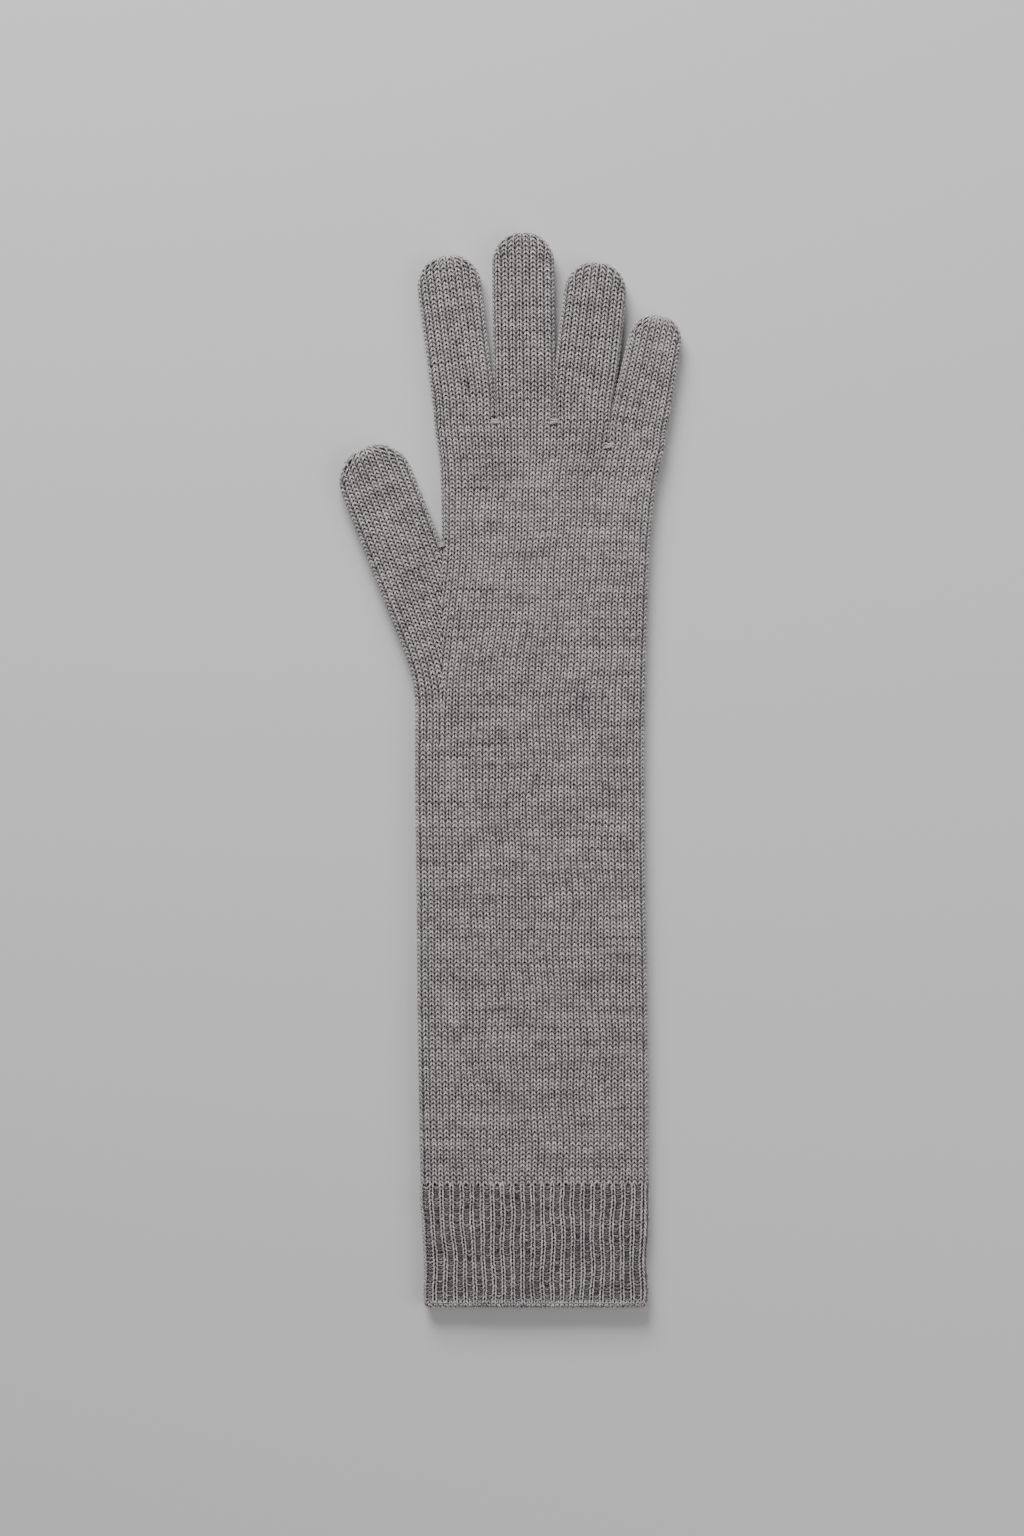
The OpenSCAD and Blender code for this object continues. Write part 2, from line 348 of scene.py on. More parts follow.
def finger_start(name):
    """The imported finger's own start: middle of its root's lower edge, and its lean in degrees."""
    fold, bend = joint(name + "_fold")[0], joint(name + "_bend")[0]
    slope = (bend[0] - fold[0]) / (bend[1] - fold[1])
    y0 = node(name + "_root")[0][1]
    return (fold[0] + (y0 - fold[1]) * slope, y0), math.degrees(math.atan(slope))


# Name: shift towards +X, extra lean, mm over which it leans over, half widths at distances along it,
# the round tip's radius
FINGER_SHAPES = {
    "index": (0.2, -0.8, 16, [(0, 12.5), (10, 12.95), (20, 13.1), (30, 13.1), (60, 13.3)], 13.3),
    "middle": (0.0, -0.6, 16, [(0, 12.4), (12, 12.85), (20, 13.0), (30, 12.9), (70, 12.9)], 12.9),
    "ring": (0.1, 1.4, 16, [(0, 11.85), (12, 12.7), (22, 13.25), (34, 13.2), (60, 12.9)], 12.8),
    "little": (-0.25, 1.5, 12, [(0, 12.1), (12, 12.35), (22, 12.1), (34, 11.5), (50, 11.0)], 11.0)}


def make_finger(name):
    start, lean = finger_start(name)
    shift, extra, bend_over, widths, tip_r = FINGER_SHAPES[name]
    start = start[0] + shift, start[1]
    top = node(name + "_tip")[1][1]
    lean += extra
    reach = (top - start[1] - tip_r) / math.cos(math.radians(lean))
    return Finger(start, lean, bend_over, widths, reach, tip_r)


# The thumb's left edge leaves the sleeve upright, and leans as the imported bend's axis says
THUMB_BEND_AXIS = joint("thumb_bend")[1]
THUMB_LEAN = -math.atan2(THUMB_BEND_AXIS[1], THUMB_BEND_AXIS[0])
THUMB_R = 15.5          # half the thumb's width, and the radius of its tip
THUMB_WALES = 26        # stitches round it
THUMB_TURN = 17.0       # half the length over which the edge turns from upright to its lean


class Thumb(Finger):
    """The thumb, whose courses start on the sleeve's edge and run to the seam with the palm."""

    def __init__(self):
        tip = node("thumb_tip")
        self.tip_r = THUMB_R
        self.lean = THUMB_LEAN
        centre = np.array([tip[0][0] + THUMB_R, tip[1][1] - THUMB_R])
        axis = np.array([math.sin(self.lean), math.cos(self.lean)])
        # the straight part runs down to the sleeve's edge, and a short bend joins it upright
        across = np.array([axis[1], -axis[0]])
        foot_edge = centre - THUMB_R * across
        run = (foot_edge[0] - SLEEVE_LEFT) / axis[0]
        v = np.linspace(-60, run + 40, 1200)
        angle = self.lean * smooth((v + THUMB_TURN) / (2 * THUMB_TURN))
        # the left edge passes through the round tip's tangent point
        self.trace(v, angle, run, foot_edge)
        self.reach = run
        self.widths = np.array([[-60, THUMB_R], [run + 40, THUMB_R]], float)

    def place(self, across, v, z):
        """The traced line is the thumb's left edge; across is measured from half a width in from it."""
        cx, cy, angle = self.axis(v)
        inward = across + THUMB_R
        x, y = cx + inward * np.cos(angle), cy - inward * np.sin(angle)
        return np.stack([x, y, rise(x, y, z)], -1)

    def open_surface(self, pitch):
        """Courses that stop at the seam: a stitches from the -X rim; a > 0 is the lower layer."""
        def surface(a, v):
            d, z = rim_curve(np.abs(a) * pitch, HALF)
            across = d + EDGE - THUMB_R
            p = self.place(across, v, np.where(a > 0, -z, z))
            p[..., 2] = MID_Z + seam_dip(SEAM_X - p[..., 0], p[..., 1], p[..., 2] - MID_Z)
            return p
        return surface

    def seam_reach(self, v):
        """Distance in from the edge curve to the seam line."""
        x, _, angle = self.axis(v)
        return (SEAM_X - x) / np.cos(angle)


# ---------------------------------------------------------------- knitting
# Spread of the seeded unevenness: of each stitch's swing and reach, of the course's drift, of the depth,
# and of the yarn's thickness along a course and from one course to another
UNEVEN_SWING, UNEVEN_REACH, UNEVEN_DRIFT, UNEVEN_DEPTH = 0.022, 0.035, 0.05, 0.05
UNEVEN_YARN, UNEVEN_COURSE = 0.09, 0.03
RIB_SQUARE = 2.4        # how abruptly knit columns turn into purl ones


def ripple(count, knots, size, closed):
    """Smooth seeded unevenness along a yarn."""
    k = RNG.normal(0, size, max(knots, 4))
    if closed:
        k = np.append(k, k[0])
    return np.interp(np.linspace(0, len(k) - 1, count), np.arange(len(k)), k)


def normals_of(surface, a, v):
    here = surface(a, v)
    along = surface(a + 0.03, v) - surface(a - 0.03, v)
    up = surface(a, v + 0.06) - surface(a, v - 0.06)
    n = np.cross(up, along)
    n /= np.maximum(np.linalg.norm(n, axis=-1, keepdims=True), 1e-9)
    return here, n


class Pile:
    """Yarn meshes gathered into one piece."""

    def __init__(self):
        self.v, self.f, self.ends, self.yarn, self.depth, self.count = [], [], [], [], [], 0

    def sweep(self, c, up, depth, radius, closed, tag):
        """A round yarn along the points c; up is the wall's normal and depth sets the painted shade in its
        colour.
        """
        n = len(c)
        if closed:
            t = np.roll(c, -1, 0) - np.roll(c, 1, 0)
        else:
            t = np.gradient(c, axis=0)
        t /= np.linalg.norm(t, axis=1, keepdims=True)
        side = np.cross(up, t)
        side /= np.maximum(np.linalg.norm(side, axis=1, keepdims=True), 1e-9)
        out = np.cross(t, side)
        ang = np.arange(SIDES) * 2 * math.pi / SIDES
        ring = (np.cos(ang)[None, :, None] * side[:, None, :]
                + np.sin(ang)[None, :, None] * out[:, None, :])
        v = c[:, None, :] + radius[:, None, None] * ring
        i = np.arange(n if closed else n - 1)
        j = (i + 1) % n
        k = np.arange(SIDES)
        m = (k + 1) % SIDES
        f = np.stack([
            i[:, None] * SIDES + k, i[:, None] * SIDES + m,
            j[:, None] * SIDES + m, j[:, None] * SIDES + k], -1).reshape(-1, 4)
        length = np.concatenate([[0], np.cumsum(np.linalg.norm(np.diff(c, axis=0), axis=1))])
        yarn = np.empty((n, SIDES, 3))
        yarn[..., 0] = length[:, None]
        yarn[..., 1] = tag
        yarn[..., 2] = ang[None, :]
        self.v.append(v.reshape(-1, 3))
        self.f.append(f + self.count)
        self.yarn.append(yarn.reshape(-1, 3))
        # the height that sets the painted shade: the yarn's depth plus each point's height round it
        painted_shade_height = depth[:, None] + radius[:, None] * np.einsum("nki,ni->nk", ring, up)
        self.depth.append(painted_shade_height.ravel())
        self.count += n * SIDES
        if not closed:
            self.caps(n)

    def caps(self, n):
        base = self.count - n * SIDES
        first = [base + k for k in range(SIDES)]
        last = [base + (n - 1) * SIDES + k for k in range(SIDES)]
        self.ends += [first[::-1], last]

    def mesh(self, name):
        v = np.concatenate(self.v) * MM
        f = np.concatenate(self.f)
        me = bpy.data.meshes.new(name)
        me.vertices.add(len(v))
        me.vertices.foreach_set("co", v.astype(np.float32).ravel())
        loops = np.concatenate([f.ravel(), np.array(self.ends, int).ravel()])
        sizes = np.concatenate([np.full(len(f), 4), np.full(len(self.ends), SIDES)])
        me.loops.add(len(loops))
        me.loops.foreach_set("vertex_index", loops.astype(np.int32))
        me.polygons.add(len(sizes))
        me.polygons.foreach_set("loop_start", (np.cumsum(sizes) - sizes).astype(np.int32))
        me.polygons.foreach_set("loop_total", sizes.astype(np.int32))
        me.polygons.foreach_set("use_smooth", np.ones(len(sizes), bool))
        me.update(calc_edges=True)
        yarn = me.attributes.new("yarn", "FLOAT_VECTOR", "POINT")
        yarn.data.foreach_set("vector", np.concatenate(self.yarn).astype(np.float32).ravel())
        # the height that sets the painted shade, read by the wool's colour
        painted_shade_height = me.attributes.new("painted_shade_height", "FLOAT", "POINT")
        painted_shade_height.data.foreach_set("value", np.concatenate(self.depth).astype(np.float32))
        return me


def stitch_path(a, relief, bulge):
    """Sideways swing in stitches, reach along the wale in courses and depth, for a yarn at a."""
    t = 2 * math.pi * a
    depth = -relief * np.cos(2 * t) - HEAD_LIFT * np.cos(t)
    return bulge * np.sin(2 * t), -LOOP_REACH * np.cos(t), depth


def course(pile, surface, v, a0, a1, closed, tag, gauge=COURSE, rib=0.0, yarn=YARN_R, unruly=1.0):
    """One course of stitches from a0 to a1 on a surface; rib is how far its columns stand out and sink."""
    if closed:
        a = np.arange(a0 * SEGMENTS, a1 * SEGMENTS) / SEGMENTS
    else:
        a = np.arange(math.ceil(a0 * SEGMENTS), math.floor(a1 * SEGMENTS) + 1) / SEGMENTS
    n = len(a)
    swing, reach, depth = stitch_path(a, LEG_DEPTH, RIB_BULGE if rib else LEG_BULGE)
    if rib:
        column = np.cos(math.pi * a)
        depth = depth * np.clip(RIB_SQUARE * column, -1, 1) + rib * column
        swing = swing + RIB_WIDEN * np.sin(math.pi * a)
    stitches = int(a1 - a0)
    swing = swing + ripple(n, stitches * 3, UNEVEN_SWING * unruly, closed)
    reach = (reach + ripple(n, stitches * 2, UNEVEN_REACH * unruly, closed)
             + ripple(n, stitches // 6, UNEVEN_DRIFT, closed))
    depth = depth + ripple(n, stitches * 2, UNEVEN_DEPTH * unruly, closed)
    p, up = normals_of(surface, a + swing, v + reach * gauge)
    c = p + up * depth[:, None]
    if not closed:
        tuck = np.minimum(a - a0, a1 - a) / END_LENGTH
        c -= up * (1 - smooth(tuck))[:, None] * END_TUCK
    radius = (yarn * (1 + ripple(n, stitches * 2, UNEVEN_YARN, closed))
              * (1 + RNG.normal(0, UNEVEN_COURSE)))
    # painted light and shade along each loop: a height added for the colour only, highest at one place along
    # the loop
    painted_loop_shade, at = (RIB_PAINTED_LOOP_SHADE, RIB_PAINTED_LOOP_SHADE_AT) if rib else (PAINTED_LOOP_SHADE, PAINTED_LOOP_SHADE_AT)
    light = depth + painted_loop_shade * np.cos(2 * math.pi * (reach - at))
    pile.sweep(c, up, light, np.clip(radius, yarn * 0.7, yarn * 1.4), closed, tag)


# ---------------------------------------------------------------- materials
MELANGE_LOW, MELANGE_HIGH = 0.36, 0.64  # the noise's range, from the darkest fibres to the lightest
# The wool's colour carries painted shade: it is darkened with its depth in the wall. These numbers were
# fitted to the photo's contrast.
# Heights above the wall's middle, in mm, of the darkest and the lightest yarn, and how light the darkest is
PLAIN_PAINTED_SHADE = -0.3, 1.0, 0.15
RIB_PAINTED_SHADE = -0.5, 1.2, 0.0
LINK_PAINTED_SHADE = -0.3, 0.8, 0.3
PAINTED_LOOP_SHADE = 0.32            # painted light and shade: extra height, for the colour only, highest at one place along each loop
PAINTED_LOOP_SHADE_AT = 0.17         # where that is, in courses above a course's middle
RIB_PAINTED_LOOP_SHADE, RIB_PAINTED_LOOP_SHADE_AT = 0.7, 0.52     # the same two for the rib
DARK, DARK_LINK, LIGHT = (0.33, 0.295, 0.31), (0.46, 0.42, 0.43), (0.86, 0.81, 0.80)
# How fast each noise changes along the yarn, from course to course and round the yarn, its detail, its share
STREAK = (0.11, 7.3, 0.0, 2), 0.42
FIBRE = (0.9, 3.1, 0.9, 3), 0.34
BAND = (0.012, 0.12, 0.0, 1), 0.24
HAIRS = 2.2, 5.0, 2.6, 4
TWIST_ALONG, TWIST_ROUND = 4.2, 2.0     # the plies' turns along the yarn and round it
PLY_HEIGHT = 0.7        # the plies' relief against the hairs'
BUMP, BUMP_HEIGHT = 0.55, 0.00025


def new_material(name):
    mat = bpy.data.materials.new(name)
    mat.use_nodes = True
    nt = mat.node_tree
    return mat, nt, nt.nodes["Principled BSDF"]


def math_node(nt, operation, a, b=None):
    n = nt.nodes.new("ShaderNodeMath")
    n.operation = operation
    for k, x in enumerate((a, b)):
        if x is None:
            continue
        if isinstance(x, (int, float)):
            n.inputs[k].default_value = x
        else:
            nt.links.new(x, n.inputs[k])
    return n.outputs[0]


def wool(name, dark, light, painted_shade_range):
    """Grey melange wool: fibres of several greys drawn out along the yarn, two twisted plies, and painted
    shade that darkens the colour of the yarn deep in the wall.
    """
    mat, nt, shader = new_material(name)
    attribute = nt.nodes.new("ShaderNodeAttribute")
    attribute.attribute_name = "yarn"
    split = nt.nodes.new("ShaderNodeSeparateXYZ")
    nt.links.new(attribute.outputs["Vector"], split.inputs[0])
    along, tag, angle = split.outputs

    def noise(scale_along, scale_tag, scale_angle, detail):
        join = nt.nodes.new("ShaderNodeCombineXYZ")
        nt.links.new(math_node(nt, "MULTIPLY", along, scale_along), join.inputs[0])
        nt.links.new(math_node(nt, "MULTIPLY", tag, scale_tag), join.inputs[1])
        nt.links.new(math_node(nt, "MULTIPLY", angle, scale_angle), join.inputs[2])
        tex = nt.nodes.new("ShaderNodeTexNoise")
        tex.inputs["Scale"].default_value = 1.0
        tex.inputs["Detail"].default_value = detail
        nt.links.new(join.outputs[0], tex.inputs["Vector"])
        return tex.outputs["Fac"]

    streak, fibre, band = (math_node(nt, "MULTIPLY", noise(*scales), share)
                           for scales, share in (STREAK, FIBRE, BAND))
    mixed = math_node(nt, "ADD", math_node(nt, "ADD", streak, fibre), band)
    ramp = nt.nodes.new("ShaderNodeValToRGB")
    ramp.color_ramp.elements[0].position = MELANGE_LOW
    ramp.color_ramp.elements[0].color = (*dark, 1)
    ramp.color_ramp.elements[1].position = MELANGE_HIGH
    ramp.color_ramp.elements[1].color = (*light, 1)
    nt.links.new(mixed, ramp.inputs[0])
    # painted shade: the colour of the yarn deep between the legs is darkened, as the ranges above say
    painted_shade_height = nt.nodes.new("ShaderNodeAttribute")
    painted_shade_height.attribute_name = "painted_shade_height"
    lit = nt.nodes.new("ShaderNodeMapRange")
    lit.inputs["From Min"].default_value = painted_shade_range[0]
    lit.inputs["From Max"].default_value = painted_shade_range[1]
    lit.inputs["To Min"].default_value = painted_shade_range[2]
    lit.inputs["To Max"].default_value = 1.0
    nt.links.new(painted_shade_height.outputs["Fac"], lit.inputs["Value"])
    shade = nt.nodes.new("ShaderNodeMix")
    shade.data_type = "RGBA"
    shade.blend_type = "MULTIPLY"
    shade.inputs["Factor"].default_value = 1.0
    nt.links.new(ramp.outputs[0], shade.inputs["A"])
    nt.links.new(lit.outputs[0], shade.inputs["B"])
    nt.links.new(shade.outputs["Result"], shader.inputs["Base Color"])
    # plies wind round the yarn, with fine hairs over them
    wind = math_node(nt, "ADD", math_node(nt, "MULTIPLY", along, TWIST_ALONG),
                     math_node(nt, "MULTIPLY", angle, TWIST_ROUND))
    ply = math_node(nt, "ABSOLUTE", math_node(nt, "SINE", math_node(nt, "MULTIPLY", wind, 0.5)))
    height = math_node(nt, "ADD", math_node(nt, "MULTIPLY", ply, PLY_HEIGHT), noise(*HAIRS))
    bump = nt.nodes.new("ShaderNodeBump")
    bump.inputs["Strength"].default_value = BUMP
    bump.inputs["Distance"].default_value = BUMP_HEIGHT
    nt.links.new(height, bump.inputs["Height"])
    nt.links.new(bump.outputs[0], shader.inputs["Normal"])
    shader.inputs["Roughness"].default_value = 0.93
    shader.inputs["Specular IOR Level"].default_value = 0.18
    shader.inputs["Sheen Weight"].default_value = 0.35
    shader.inputs["Sheen Roughness"].default_value = 0.55
    shader.inputs["Sheen Tint"].default_value = (0.9, 0.88, 0.88, 1)
    return mat


PLAIN = wool("plain_wool", DARK, LIGHT, PLAIN_PAINTED_SHADE)
RIB = wool("rib_wool", DARK, LIGHT, RIB_PAINTED_SHADE)
LINK = wool("linking_wool", DARK_LINK, LIGHT, LINK_PAINTED_SHADE)


def piece(name, pile, mat, slot, *nodes):
    me = pile.mesh(name)
    me.materials.append(mat)
    ob = bpy.data.objects.new(name, me)
    bpy.context.scene.collection.objects.link(ob)
    if nodes:
        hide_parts(*nodes)
    return ob


def bends(ob, a, b, y0, y1):
    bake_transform(ob)


# ---------------------------------------------------------------- the cuff
WELT_TURN = CUFF_EDGE + WELT_ROLL + 0.5     # height at which the wall starts to roll in
WELT_INSIDE = 3.5       # how far the edge's courses go up inside
RELIEF_FADE = 6         # height over which the ribs flatten towards the edge
RELIEF_LEFT = 0.4       # how much of their relief is left there
CUFF_BEND = RIB_TOP - 9, RIB_TOP + 9        # a span of heights about the cuff's fold
WRIST_BEND = WRIST - 16, WRIST + 14         # the same for the wrist's
FINGER_BEND, THUMB_BEND = 7, 5.5            # half of that for the bends of the fingers and the thumb
FAN = 1.3               # how far the ribs fan out at the cuff's edge
FAN_AT, FAN_WIDTH = 14, 13      # where, from the sleeve's left edge, and how widely


def wander(x, y):
    """How far the ribs stray sideways: they fan out a little on the thumb side, and waver."""
    down = (RIB_TOP - y) / (RIB_TOP - CUFF_EDGE)
    side = np.exp(-(((x - SLEEVE_LEFT) - FAN_AT) / FAN_WIDTH) ** 2)
    return (FAN * side * (down - 0.2) + 0.28 * np.sin(y / 6.1 + x / 9.0)
            + 0.2 * np.sin(y / 3.7 - x / 5.3 + 1.0)) * smooth(down * 6)


def rib_surface(n):
    """The ribbed cuff: v is the height, and below the edge the wall rolls in and goes up inside."""
    def surface(a, v):
        past = np.clip((WELT_TURN - v) / WELT_ROLL, 0, math.pi)
        inside = np.maximum(WELT_TURN - v - math.pi * WELT_ROLL, 0)
        y = np.where(v > WELT_TURN, v, WELT_TURN - WELT_ROLL * np.sin(past) + inside)
        inset = WELT_ROLL * (1 - np.cos(past))
        left, right = left_edge(y) + inset, right_edge(y) - inset
        h = HALF - inset
        x, z = flat_section(a * around(right - left, h) / n, left, right, h)
        x = x + wander(x, y)
        z = np.where(z < 0, z * (1 - RIB_LIFT / HALF), z)
        return np.stack([x, y, rise(x, y, z)], -1)
    return surface


def make_cuff():
    wide = around(right_edge(RIB_TOP) - left_edge(RIB_TOP), HALF)
    n = 2 * round(wide / RIB_WALE / 2)
    surface = rib_surface(n)
    middle = (RIB_TOP + CUFF_EDGE) / 2
    upper, lower, edge = Pile(), Pile(), Pile()
    for v in np.arange(RIB_TOP - RIB_COURSE / 4, WELT_TURN, -RIB_COURSE):
        full = float(smooth((v - WELT_TURN) / RELIEF_FADE))
        relief = RIB_RELIEF * (RELIEF_LEFT + (1 - RELIEF_LEFT) * full)
        course(upper if v > middle else lower, surface, v, 0, n, True, v, RIB_COURSE, relief,
               RIB_YARN_R, RIB_UNRULY)
    roll_end = WELT_TURN - math.pi * WELT_ROLL - WELT_INSIDE
    for v in np.arange(WELT_TURN + 0.5, roll_end, -WELT_COURSE):
        course(edge, surface, v, 0, n, True, v, WELT_COURSE, yarn=RIB_YARN_R,
               unruly=WELT_UNRULY)
    ob = piece("rib_upper", upper, RIB, "rib_knit", "rib_cuff")
    bends(ob, "cuff", "forearm", *CUFF_BEND)
    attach(piece("rib_lower", lower, RIB, "rib_knit", "rib_cuff"), "cuff")
    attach(piece("cuff_edge", edge, PLAIN, "rib_knit", "cuff_welt"), "cuff")


# ---------------------------------------------------------------- forearm and palm
THUMB_OPENS = WRIST - 10    # above this height the sleeve's outer stitches belong to the thumb
ROWS = int(round((CROTCH - RIB_TOP) / COURSE))
ROW_YS = RIB_TOP + (np.arange(ROWS) + 0.5) * (CROTCH - RIB_TOP) / ROWS


def row_below(y):
    return float(ROW_YS[ROW_YS < y][-1])


def make_forearm():
    surface = Body(SLEEVE_WALES, left_edge, right_edge).surface
    rows = ROW_YS[ROW_YS < THUMB_OPENS]
    for k, band in enumerate(np.array_split(rows, 5)):
        pile = Pile()
        for y in band:
            course(pile, surface, y, 0, SLEEVE_WALES, True, y)
        ob = piece(f"forearm_{k + 1}", pile, PLAIN, "plain_knit", "forearm_sleeve")
        if k == 0:
            bends(ob, "cuff", "forearm", *CUFF_BEND)
        elif k == 4:
            bends(ob, "forearm", "palm", *WRIST_BEND)
        else:
            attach(ob, "forearm")


def make_knuckles():
    left, right = left_edge(LITTLE_CROTCH), knuckle_right(LITTLE_CROTCH)
    pitch = around(right_edge(LITTLE_CROTCH) - left, HALF) / PALM.n
    middle = (left + right) / 2
    return Body(round(float(around(right - left, HALF) / pitch)), left_edge, knuckle_right,
                PALM.stitch_at(middle, LITTLE_CROTCH))


# the palm's stitches start at its +X rim, like the sleeve's
PALM = Body(PALM_WALES, left_edge, right_edge, PALM_WALES / 4)
KNUCKLES = make_knuckles()


def seam_stitches(y):
    """Stitches from the +X rim to the seam line on one layer of the open palm."""
    flat = right_edge(y) - SEAM_X - RIM * HALF
    return float((flat + RIM_ARC * HALF) / palm_pitch(y))


def make_palm():
    low = ROW_YS[(ROW_YS >= THUMB_OPENS) & (ROW_YS < WRIST_BEND[1])]
    high = ROW_YS[(ROW_YS >= WRIST_BEND[1]) & (ROW_YS < THUMB_CROTCH)]
    for name, rows in (("wrist_rows", low), ("palm_lower", high[:len(high) // 2]),
                       ("palm_upper", high[len(high) // 2:])):
        pile = Pile()
        for y in rows:
            reach = seam_stitches(y)
            course(pile, palm_surface, y, -reach, reach, False, y)
        ob = piece(name, pile, PLAIN, "plain_knit", "five_finger_body")
        if name == "wrist_rows":
            bends(ob, "forearm", "palm", *WRIST_BEND)
        else:
            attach(ob, "palm")
    pile = Pile()
    for y in ROW_YS[(ROW_YS >= THUMB_CROTCH) & (ROW_YS < LITTLE_CROTCH)]:
        course(pile, PALM.surface, y, 0, PALM.n, True, y)
    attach(piece("palm_four_fingers", pile, PLAIN, "plain_knit", "four_finger_body"), "palm")
    pile = Pile()
    for y in ROW_YS[ROW_YS >= LITTLE_CROTCH]:
        course(pile, KNUCKLES.surface, y, 0, KNUCKLES.n, True, y)
    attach(piece("palm_three_fingers", pile, PLAIN, "plain_knit", "three_finger_body"), "palm")


# ---------------------------------------------------------------- fingers
# What is added to a course's height, so that the wool of each tube has a pattern of its own; a finger adds
# its tip's radius times FINGER_TAG
FINGER_TAG, THUMB_TAG, KNOT_TAG = 7, 300, 500
SEAM_OVERLAP = 0.25     # how far the thumb's open courses run under the palm's, in stitches
THUMB_FOLD_WAY = np.array([-0.92, 0.39])    # from the thumb's crotch, square to its fold
THUMB_FOLD_LENGTH = 9


def knit_finger(finger, pile, rows, full, anchor):
    for v in rows:
        n = finger.wales(v, full)
        course(pile, finger.surface(n, anchor), v, 0, n, True, v + finger.tip_r * FINGER_TAG)


def make_fingers():
    for name in FINGER_SHAPES:
        finger = make_finger(name)
        base, crotch = (PALM, LITTLE_CROTCH) if name == "little" else (KNUCKLES, CROTCH)
        first = row_below(crotch) + COURSE
        rows = np.array(finger.courses(first - node(name + "_root")[0][1]))
        full = round(finger.girth(rows[0]) / base.pitch(crotch))
        anchor = base.stitch_at(finger.axis(0.0)[0], crotch) % 1
        fold, bend = joint(name + "_fold")[0], joint(name + "_bend")[0]
        y0 = node(name + "_root")[0][1]
        # the two pieces part halfway between the end of a span about the fold and the start of one about the
        # bend
        cut = (2 * fold[1] - y0 + bend[1] - FINGER_BEND) / 2 - y0
        lower, upper = Pile(), Pile()
        knit_finger(finger, lower, rows[rows < cut], full, anchor)
        knit_finger(finger, upper, rows[rows >= cut], full, anchor)
        ob = piece(name + "_lower", lower, PLAIN, "plain_knit", name + "_root", name + "_shaft")
        bends(ob, "palm", name + "_lower", y0, 2 * fold[1] - y0)
        ob = piece(name + "_upper", upper, PLAIN, "plain_knit", name + "_tip", name + "_shaft")
        bends(ob, name + "_lower", name + "_upper", bend[1] - FINGER_BEND, bend[1] + FINGER_BEND)


def make_thumb():
    thumb = Thumb()
    pitch = float(around(2 * (THUMB_R - EDGE), HALF)) / THUMB_WALES
    foot = float(np.interp(row_below(THUMB_OPENS) + COURSE, thumb.y, thumb.v))
    rows = np.array(thumb.courses(foot))
    reach = thumb.seam_reach(rows)
    open_rows = reach < 2 * THUMB_R - EDGE
    surface = thumb.open_surface(pitch)
    low, side, end = Pile(), Pile(), Pile()
    wrist_top = float(np.interp(WRIST_BEND[1] + 0.5, thumb.y, thumb.v))
    bend_at = joint("thumb_bend")[0]
    axis = np.array([math.sin(thumb.lean), math.cos(thumb.lean)])
    edge = np.array(thumb.axis(thumb.reach)[:2])
    cut = thumb.reach + float((bend_at[:2] - edge) @ axis) - THUMB_BEND
    for v, wide, is_open in zip(rows, reach, open_rows):
        pile = low if v < wrist_top else side if v < cut else end
        if is_open:
            n = float((wide - EDGE - RIM * HALF + RIM_ARC * HALF) / pitch) + SEAM_OVERLAP
            course(pile, surface, v, -n, n, False, v + THUMB_TAG)
        else:
            n = thumb.wales(v, THUMB_WALES)
            course(pile, thumb.surface(n, -THUMB_WALES / 4), v, 0, n, True, v + THUMB_TAG)
    ob = piece("thumb_side", low, PLAIN, "plain_knit", "five_finger_body")
    bends(ob, "forearm", "palm", *WRIST_BEND)
    ob = piece("thumb_lower", side, PLAIN, "plain_knit", "thumb_root", "thumb_shaft")
    start = JOINS["thumb_join"][:2]
    finish = start + THUMB_FOLD_LENGTH * THUMB_FOLD_WAY
    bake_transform(ob)
    ob = piece("thumb_upper", end, PLAIN, "plain_knit", "thumb_tip", "thumb_shaft")
    start, finish = bend_at[:2] - THUMB_BEND * axis, bend_at[:2] + THUMB_BEND * axis
    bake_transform(ob)


# ---------------------------------------------------------------- linked stitches at the crotches
KNOT_SHIFTS = (-0.7, 0.1, 0.8)      # heights of a knot's wraps about the crotch, in mm
THUMB_KNOT_DROP = 2.4               # the thumb's knot is drawn down into its crotch
THUMB_KNOT_WIDTH = 0.6              # and is narrower than its node
KNOT_POINTS = 40
KNOT_PAINTED_SHADE = 0.25                   # the wraps' height in the painted shade of their colour
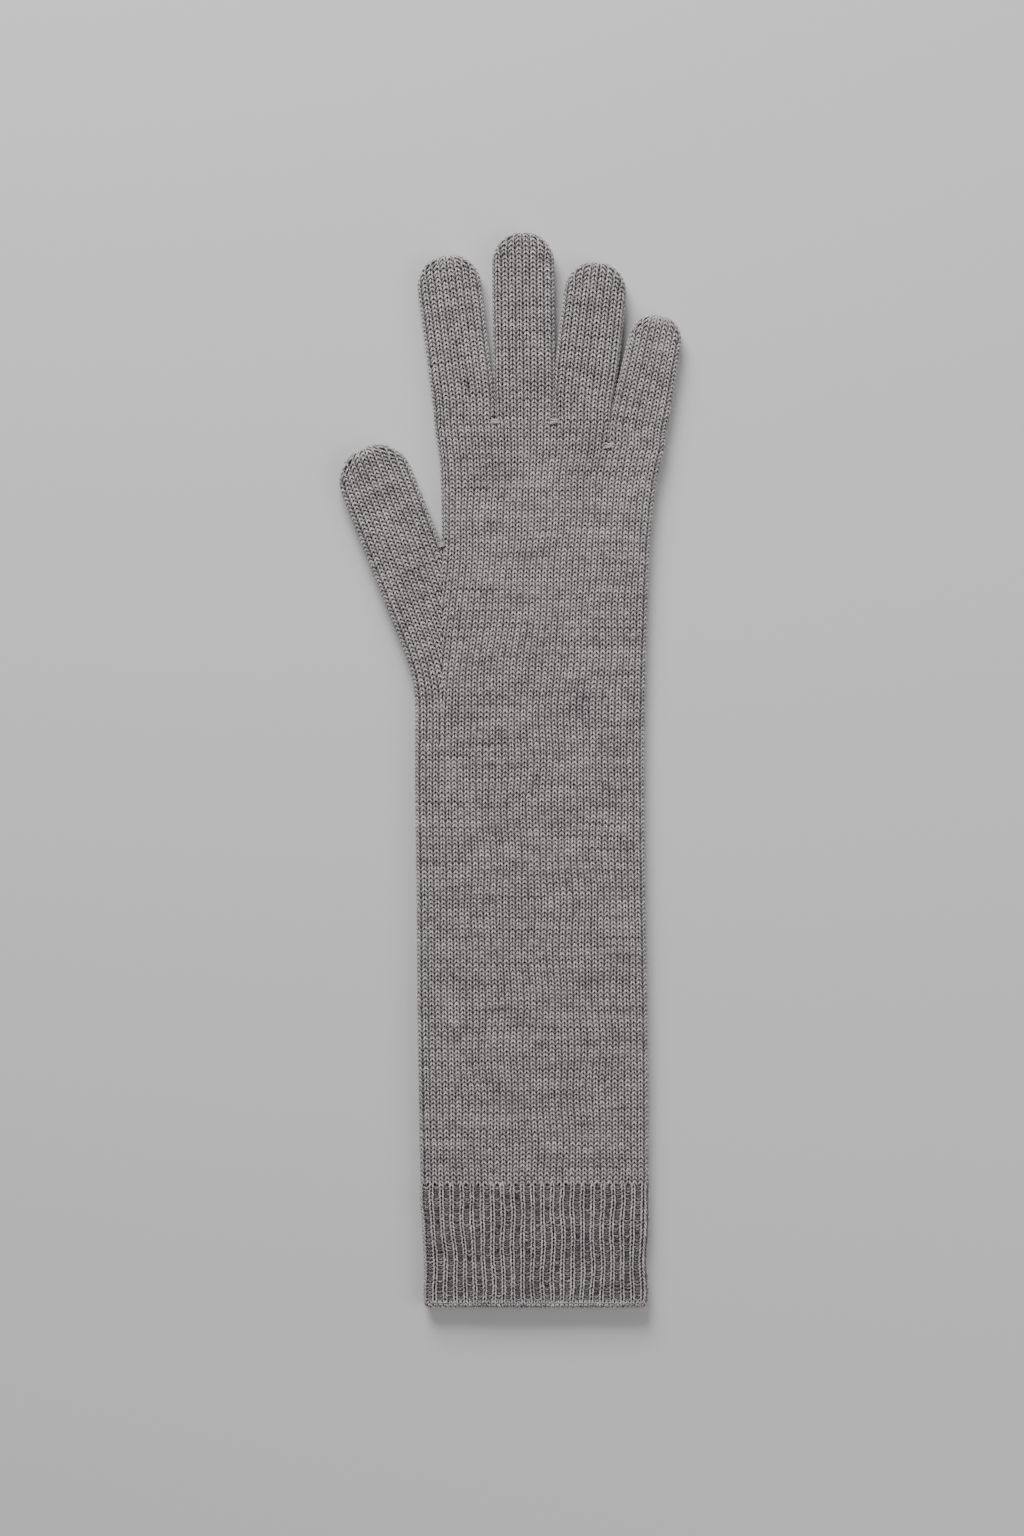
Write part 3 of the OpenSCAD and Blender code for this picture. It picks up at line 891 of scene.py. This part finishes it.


def make_joins():
    """A few tight wraps of yarn through each crotch, over the top and under the bottom."""
    for name, at in JOINS.items():
        pile = Pile()
        low, high = node(name)
        half, drop = (high[0] - low[0]) / 2, 0
        if name == "thumb_join":
            half, drop = half * THUMB_KNOT_WIDTH, THUMB_KNOT_DROP
        n = KNOT_POINTS
        t = np.linspace(0, 2 * math.pi, n, endpoint=False)
        for k, shift in enumerate(KNOT_SHIFTS):
            # each wrap is a little shorter and higher than the one before
            x = at[0] + half * (0.95 - 0.12 * k) * np.cos(t) + ripple(n, 9, 0.12, True)
            z = MID_Z + (HALF + 0.05 + 0.08 * k) * np.clip(1.6 * np.sin(t), -1, 1)
            z = z + 0.25 * (1 - np.abs(np.cos(t))) * np.sign(np.sin(t))
            y = at[1] - drop + shift + 0.35 * np.cos(t + k) + ripple(n, 9, 0.1, True)
            c = np.stack([x, y, z], -1)
            up = np.stack([np.cos(t), 0 * t, np.sin(t)], -1)
            pile.sweep(c, up, np.full(n, KNOT_PAINTED_SHADE), np.full(n, RIB_YARN_R), True,
                       KNOT_TAG + at[0] + k)
        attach(piece("knot_" + name, pile, LINK, "linked_stitches", name), "palm")


# ---------------------------------------------------------------- floor, light and camera
PHOTO_SPAN = 0.6374     # height of the picture on the floor, in metres
LENS, SENSOR = 85.0, 36.0
CENTRE = 0.0004         # where the camera looks down, in metres along x and y
FLOOR = 3.0             # half the floor's side
# Each area light's place, size and power
KEY = (-0.4, 1.4, 1.0), 0.9, 34
FILL = (1.1, -0.4, 1.2), 1.2, 8
AMBIENT = 0.2


def make_stage():
    me = bpy.data.meshes.new("floor")
    s = FLOOR
    me.from_pydata([(-s, -s, 0), (s, -s, 0), (s, s, 0), (-s, s, 0)], [], [(0, 1, 2, 3)])
    ob = bpy.data.objects.new("floor", me)
    mat, _, shader = new_material("floor_paper")
    shader.inputs["Base Color"].default_value = (0.74, 0.74, 0.75, 1)
    shader.inputs["Roughness"].default_value = 0.85
    me.materials.append(mat)
    bpy.context.scene.collection.objects.link(ob)


def area_light(name, at, size, power):
    data = bpy.data.lights.new(name, "AREA")
    data.energy, data.size = power, size
    ob = bpy.data.objects.new(name, data)
    ob.location = at
    # it faces the middle of the glove
    ob.rotation_euler = (-ob.location).to_track_quat("-Z", "Y").to_euler()
    bpy.context.scene.collection.objects.link(ob)


def make_view():
    world = bpy.data.worlds.new("studio")
    bpy.context.scene.world = world
    world.use_nodes = True
    background = world.node_tree.nodes["Background"]
    background.inputs["Color"].default_value = (1, 1, 1, 1)
    background.inputs["Strength"].default_value = AMBIENT
    area_light("key", *KEY)
    area_light("fill", *FILL)
    camera = bpy.data.cameras.new("camera")
    camera.lens, camera.sensor_width = LENS, SENSOR
    ob = bpy.data.objects.new("camera", camera)
    ob.location = (CENTRE, CENTRE, PHOTO_SPAN * LENS / SENSOR)
    bpy.context.scene.collection.objects.link(ob)
    bpy.context.scene.camera = ob


make_view()
make_stage()
make_cuff()
make_forearm()
make_palm()
make_fingers()
make_thumb()
make_joins()
